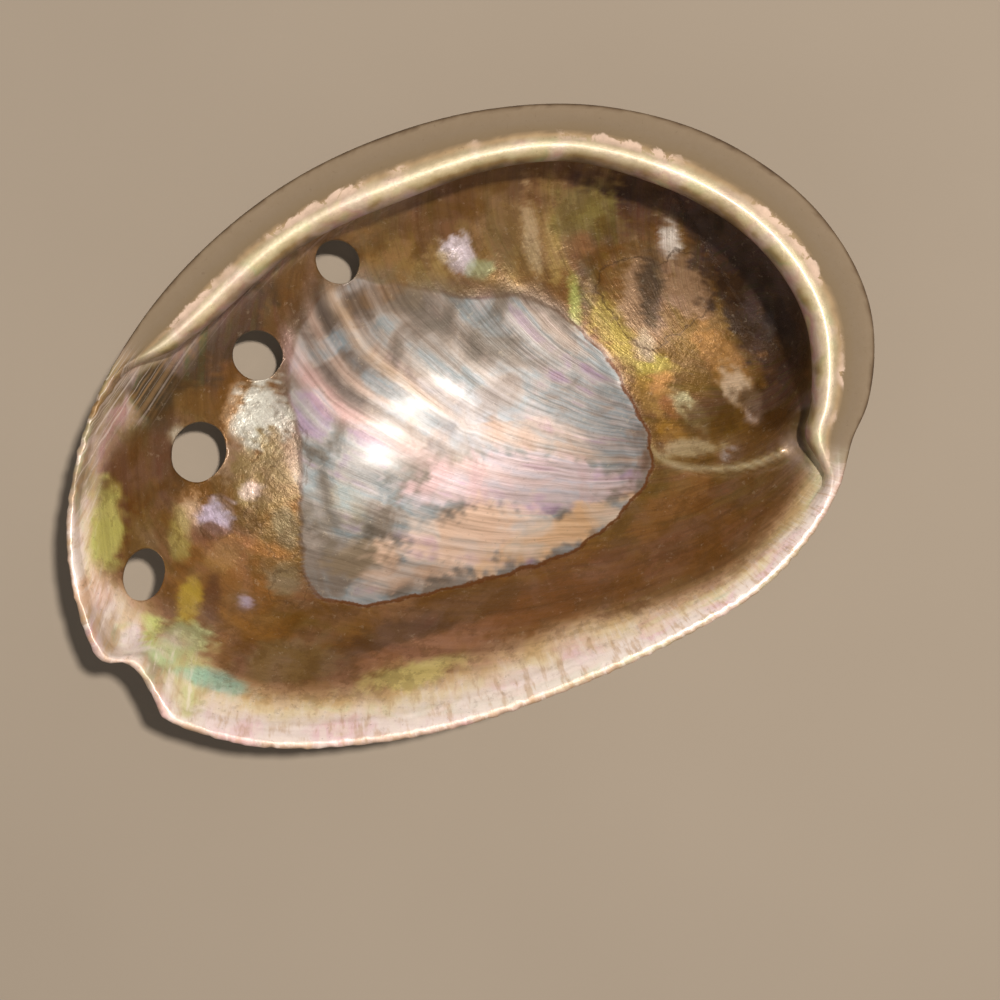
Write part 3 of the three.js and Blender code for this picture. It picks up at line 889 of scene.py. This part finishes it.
def shell_finish():
    finish = Finish("nacre_and_crust")
    inner = finish.fact("inner")
    age = finish.fact("age")
    place = finish.fact("lip_place")
    scar = finish.fact("scar")
    islands = finish.fact("islands")
    tongue = finish.fact("tongue")
    on_shelf = finish.fact("on_shelf")
    across = finish.fact("across_shelf")
    fringe = finish.fact("fringe")

    # nacre: laid colour, its play of colours along the growth lines, thin stained lines, painted glints, and
    # a dark line round the scar that is partly painted shadow
    off_shelf = 1 - on_shelf
    with_growth = finish.vector(age * 9, place * 0.45)
    streaks = finish.noise(0.12, 4, 0.6, at=with_growth)
    bands = finish.noise(0.6, 3, 0.55, at=with_growth)
    cloud = finish.noise(9, 3, 0.5, 0.6)
    on_scar = scar.step(-0.6, 0.6)
    which = (bands * off_shelf + finish.noise(7, 2) * on_shelf) * 1.6 + cloud * 0.9 - 0.75
    on_crest = on_shelf * across.step(0.58, 0.7)
    play = finish.mix(on_scar, finish.ramp(which, NACRE_PLAY), finish.ramp(which, SCAR_PLAY))
    lip_fringe = (1 - fringe.step(5, 11)) * inner
    play_amount = (0.06 + on_scar * 0.3 + lip_fringe * 0.4) * off_shelf + on_crest * 0.3
    nacre = finish.mix(play_amount * cloud.step(0.36, 0.62), finish.tint("tint"), play)
    shade = finish.ramp(streaks, [(0.3, "a89e92"), (0.5, "e2ddd8"), (0.7, "ffffff")])
    nacre = finish.mix(off_shelf * (0.5 - lip_fringe * 0.35 + on_scar * 0.3), nacre, shade, "MULTIPLY")
    across_lip = finish.noise(0.026, 3, 0.6, at=finish.vector(place * 1.8, fringe * 0.005))
    nacre = finish.mix(lip_fringe * off_shelf * across_lip.step(0.5, 0.66) * 0.5, nacre,
                       finish.plain("c49c6c"))
    nacre = finish.mix(lip_fringe * off_shelf * (1 - across_lip.step(0.36, 0.48)) * 0.5, nacre,
                       finish.plain("fff0e6"))
    nacre = finish.mix((finish.noise(2.2, 4, 0.65).step(0.56, 0.74)) * (1 - on_scar) * off_shelf * 0.3,
                       nacre, finish.plain("6a4a1c"))

    stain = finish.noise(5, 6, 0.75).step(0.5, 0.56) * (1 - on_scar) * off_shelf * (1 - lip_fringe)
    nacre = finish.mix(stain * 0.3, nacre, finish.plain("5e3d12"))
    # small pale flecks over the inside: painted glints
    painted_glint = finish.noise(1.5, 5, 0.75).step(0.6, 0.66) * off_shelf
    nacre = finish.mix(painted_glint * 0.12, nacre, finish.plain("f4e2c4"))
    speck = finish.noise(0.8, 3, 0.7).step(0.64, 0.7)
    nacre = finish.mix(speck * 0.25, nacre, finish.plain("5a4630"))

    ragged = finish.noise(1.1, 3, 0.7) - 0.5
    wandering = finish.noise(3.6, 3, 0.6) - 0.5
    # a dark line round the scar: its own edge line, and much stronger along the raised foot as painted shadow
    # of the step
    scar_line_and_shadow = 1 - (scar + ragged * 1.2).math("ABSOLUTE").step(0.15, 0.5)
    foot = finish.fact("scar_foot")
    nacre = finish.mix(scar_line_and_shadow * (0.12 + foot * 0.8), nacre, finish.plain("6b3c0e"))
    for edge, strength in ((islands, 0.35), (tongue, 0.6)):
        line = 1 - (edge + ragged * 1.2 + wandering * 4).math("ABSOLUTE").step(0.06, 0.3)
        nacre = finish.mix(line * strength, nacre, finish.plain("4a3010"))
    flakes = finish.noise(3.2, 4, 0.65, 0.5)
    flaky = (across + (flakes - 0.5) * 0.35).step(0.5, 0.56) * (1 - across.step(0.62, 0.7)) * on_shelf
    patchy = finish.noise(14, 2).step(0.4, 0.52)
    nacre = finish.mix(flaky * patchy * flakes.step(0.42, 0.5) * 0.8, nacre, finish.plain("fbdcc8"))
    wear = (finish.noise(1.4, 5, 0.7) * 0.5 + finish.noise(12, 3) * 0.6).step(0.35, 0.75)
    nacre = finish.mix(on_shelf * wear * 0.35, nacre, finish.plain("7d6a50"))

    # crust: growth bands, pale scale and worn patches
    crust_bands = finish.noise(0.5, 4, 0.6, 0.5, finish.vector(age * 7, place * 0.8))
    lumps = finish.noise(6, 5, 0.6)
    crust = finish.ramp(crust_bands * 0.75 + lumps * 0.5 - 0.12, CRUST_BANDS)
    scale = finish.noise(3.5, 5, 0.7).step(0.56, 0.64)
    crust = finish.mix(scale * 0.7, crust, finish.plain("b8ab93"))
    worn = (finish.noise(14, 4, 0.6) + age * 0.06).step(0.62, 0.7)
    crust = finish.mix(worn * 0.8, crust, finish.plain("c9b7a8"))
    colour = finish.mix(inner, crust, nacre)

    grain = finish.noise(0.5, 3, 0.6)
    nacre_lumps = finish.noise(2.4, 5, 0.68) * (0.9 - on_scar * 0.65) * (1 - lip_fringe * 0.5)
    nacre_height = (streaks * 0.3 + nacre_lumps + across_lip * lip_fringe * 0.4) * off_shelf * inner
    nacre_height = nacre_height + on_crest * finish.noise(3, 5, 0.7) * 0.8
    crust_height = (crust_bands + finish.noise(1.2, 5, 0.65) * 0.7 + scale * 0.35) * (1 - inner)
    normal = finish.bump(nacre_height * 0.35 + crust_height * 0.9, 1.0)

    dull = 1 - inner * (1 - on_shelf * (1 - across.step(0.52, 0.68)))
    very_edge = 1 - fringe.step(0.4, 1.8)
    roughness = 0.29 + grain * 0.16 + dull * 0.4 + on_scar * 0.12 + (on_shelf + very_edge) * (1 - dull) * 0.2
    metallic = (1 - dull) * (0.34 - lip_fringe * 0.2 - on_scar * 0.14)
    return finish.surface(base_color=colour, roughness=roughness, metallic=metallic, normal=normal,
                          coat_weight=(1 - dull) * (0.3 - on_scar * 0.16), coat_roughness=0.2, ior=1.5)


def floor_finish():
    finish = Finish("plain_floor")
    mottle = finish.noise(90, 3, 0.5)
    colour = finish.ramp(mottle, [(0.3, "a59889"), (0.7, "a99c8d")])
    return finish.surface(base_color=colour, roughness=0.9)


# ---------------------------------------------------------------- floor, light and camera

PLAN_TILT = math.radians(24)  # how far the shell's length is turned from level in the view
VIEW_SCALE = 0.1755  # millimetres across one thousandth of the view's width, at the rim
LENS = 80.0
SENSOR = 36.0
RIM_LEVEL = 38.0
VIEW_CENTRE = (0.5, -15.8)


FLOOR_HALF = 9000


def make_floor():
    half = FLOOR_HALF
    floor = new_object("floor", [(-half, -half, 0), (half, -half, 0), (half, half, 0), (-half, half, 0)],
                       [(0, 1, 2, 3)])
    floor.data.materials.append(floor_finish())


def in_view(right, up):
    """A direction in plan, from its share to the right and up in the picture."""
    return (right * math.cos(PLAN_TILT) + up * math.sin(PLAN_TILT),
            up * math.cos(PLAN_TILT) - right * math.sin(PLAN_TILT))


def soft_light(name, size, power, place, warmth, target=(0, 0, 15)):
    lamp = bpy.data.lights.new(name, "AREA")
    lamp.shape = "DISK"
    lamp.size = size * MM
    lamp.energy = power
    lamp.color = warmth
    holder = bpy.data.objects.new(name, lamp)
    holder.location = Vector(place) * MM
    holder.rotation_euler = (Vector(target) - Vector(place)).to_track_quat("-Z", "Y").to_euler()
    bpy.context.scene.collection.objects.link(holder)


LAMP_HEIGHT = 1000
KEY_TILT = math.radians(11.5)
FILL_REACH = 700
SIDE_REACH, SIDE_HEIGHT = 1100, 170
KEY_WARMTH = (1, 0.93, 0.84)
FILL_WARMTH = (1, 0.96, 0.92)


def make_lights():
    right, up = in_view(0.90, 0.44)
    away = LAMP_HEIGHT * math.tan(KEY_TILT)
    soft_light("key_light", 48, 9.6, (right * away, up * away, LAMP_HEIGHT), KEY_WARMTH)
    right, up = in_view(-0.5, -0.85)
    soft_light("fill_light", 900, 0.85, (right * FILL_REACH, up * FILL_REACH, LAMP_HEIGHT), FILL_WARMTH)
    for name, side in (("left", (-1, 0.3)), ("right", (0.9, 0.5)), ("front", (0.2, -1))):
        place = (side[0] * SIDE_REACH, side[1] * SIDE_REACH, SIDE_HEIGHT)
        soft_light(f"{name}_side_light", 500, 1.1, place, FILL_WARMTH)
    world = bpy.data.worlds.new("studio")
    world.use_nodes = True
    world.node_tree.nodes["Background"].inputs["Color"].default_value = (1, 0.97, 0.93, 1)
    world.node_tree.nodes["Background"].inputs["Strength"].default_value = 0.11
    bpy.context.scene.world = world


def make_camera():
    camera = bpy.data.cameras.new("camera")
    camera.lens = LENS
    camera.sensor_width = SENSOR
    camera.clip_start = 0.01
    holder = bpy.data.objects.new("camera", camera)
    distance = LENS / SENSOR * 1000 * VIEW_SCALE
    holder.location = Vector((*VIEW_CENTRE, RIM_LEVEL + distance)) * MM
    holder.rotation_euler = (0, 0, -PLAN_TILT)
    bpy.context.scene.collection.objects.link(holder)
    bpy.context.scene.camera = holder


make_camera()
make_lights()
make_floor()
shell_piece = make_shell()
shell_piece.data.materials.append(shell_finish())
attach(shell_piece, "root")
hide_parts("shell")
bpy.context.scene.view_settings.view_transform = "Standard"
